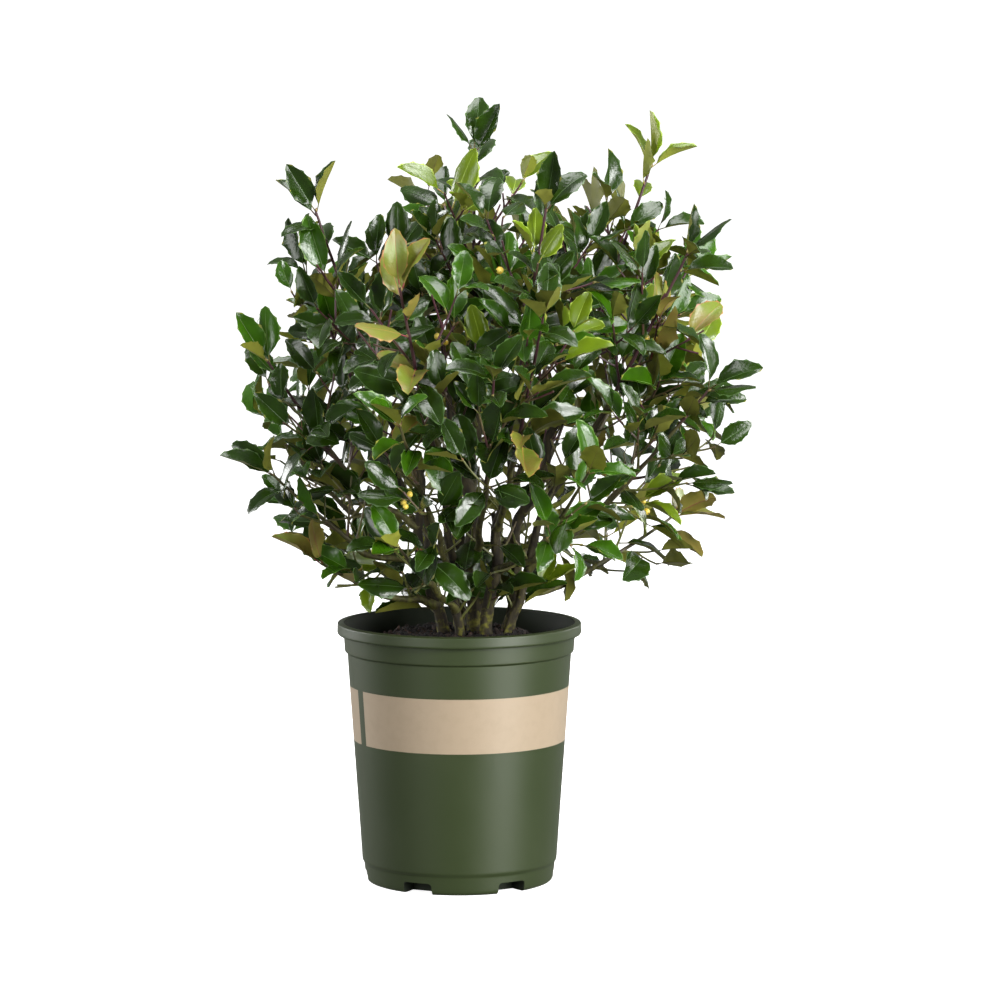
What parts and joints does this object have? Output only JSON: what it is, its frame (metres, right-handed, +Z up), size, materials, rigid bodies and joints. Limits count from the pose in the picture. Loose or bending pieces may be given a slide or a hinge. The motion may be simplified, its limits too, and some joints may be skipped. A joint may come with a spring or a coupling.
{
  "type": "potted holly shrub",
  "caption": "Bushy evergreen holly shrub with several stems and glossy spiny leaves, in potting mix in a round tapered nursery pot with a rolled lip, a collar and notched feet.",
  "frame": {"origin": "middle of the pot's flat underside, on the ground", "axes": "+Z up, +X to the right of the shrub's best side, +Y away from that side"},
  "size_m": [0.5201, 0.527, 0.737],
  "materials": {
    "pot": "semi-matt moulded polypropylene, olive green",
    "potting_mix": "moist crumbly composted bark",
    "stem_bark": "smooth grey-brown bark with fine pores and some moss",
    "bough_bark": "smooth young olive-green to purple-brown bark",
    "foliage": "glossy waxy dark green, paler and duller below"
  },
  "bodies": {
    "root": {"pot": "pot", "soil": "potting_mix", "stem_middle": "stem_bark", "stem_1": "stem_bark", "stem_2": "stem_bark", "stem_3": "stem_bark", "stem_4": "stem_bark", "stem_5": "stem_bark", "stem_6": "stem_bark", "stem_7": "stem_bark", "stem_8": "stem_bark", "bough_front": "bough_bark", "bough_back": "bough_bark", "bough_skirt_1": "bough_bark", "bough_skirt_2": "bough_bark", "bough_skirt_3": "bough_bark", "bough_skirt_4": "bough_bark", "bough_skirt_5": "bough_bark", "bough_skirt_6": "bough_bark", "bough_flank_1": "bough_bark", "bough_flank_2": "bough_bark", "bough_flank_3": "bough_bark", "bough_flank_4": "bough_bark", "bough_flank_5": "bough_bark", "bough_flank_6": "bough_bark", "bough_flank_7": "bough_bark", "bough_flank_8": "bough_bark", "bough_shoulder_1": "bough_bark", "bough_shoulder_3": "bough_bark", "bough_shoulder_5": "bough_bark", "bough_shoulder_7": "bough_bark", "foliage_middle": "foliage", "foliage_front": "foliage", "foliage_back": "foliage", "foliage_skirt_1": "foliage", "foliage_skirt_2": "foliage", "foliage_skirt_3": "foliage", "foliage_skirt_4": "foliage", "foliage_skirt_5": "foliage", "foliage_skirt_6": "foliage", "foliage_flank_1": "foliage", "foliage_flank_2": "foliage", "foliage_flank_3": "foliage", "foliage_flank_4": "foliage", "foliage_flank_5": "foliage", "foliage_flank_6": "foliage", "foliage_flank_7": "foliage", "foliage_flank_8": "foliage", "foliage_shoulder_1": "foliage", "foliage_shoulder_2": "foliage", "foliage_shoulder_3": "foliage", "foliage_shoulder_4": "foliage", "foliage_shoulder_5": "foliage", "foliage_shoulder_6": "foliage", "foliage_shoulder_7": "foliage", "foliage_shoulder_8": "foliage", "foliage_top_1": "foliage", "foliage_top_3": "foliage", "foliage_top_5": "foliage", "foliage_top_7": "foliage"}
  },
  "joints": []
}
